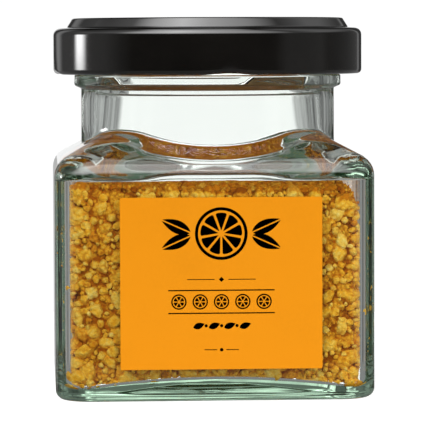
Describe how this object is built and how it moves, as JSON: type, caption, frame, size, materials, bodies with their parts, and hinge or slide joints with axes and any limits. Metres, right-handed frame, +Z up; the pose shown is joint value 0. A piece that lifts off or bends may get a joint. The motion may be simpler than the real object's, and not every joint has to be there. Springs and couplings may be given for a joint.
{
  "type": "shut glass spice jar of dried orange peel",
  "caption": "Square clear glass jar with a round black screw lid and an orange paper label, filled with crushed dried orange peel.",
  "frame": {"origin": "centre of the footprint, on the surface that the jar stands on", "axes": "+Z up along the jar's axis, -Y towards the label, +X to the right of someone reading the label"},
  "size_m": [0.0564, 0.0569, 0.0671],
  "materials": {
    "glass": "clear, faint green at the edges",
    "lid_lacquer": "gloss black lacquer on thin sheet steel",
    "label_paper": "matt printed paper",
    "peel": "dry, crumbly, matt"
  },
  "bodies": {
    "root": {"jar": "glass", "lid": "lid_lacquer", "label": "label_paper", "orange_peel": "peel"}
  },
  "joints": []
}
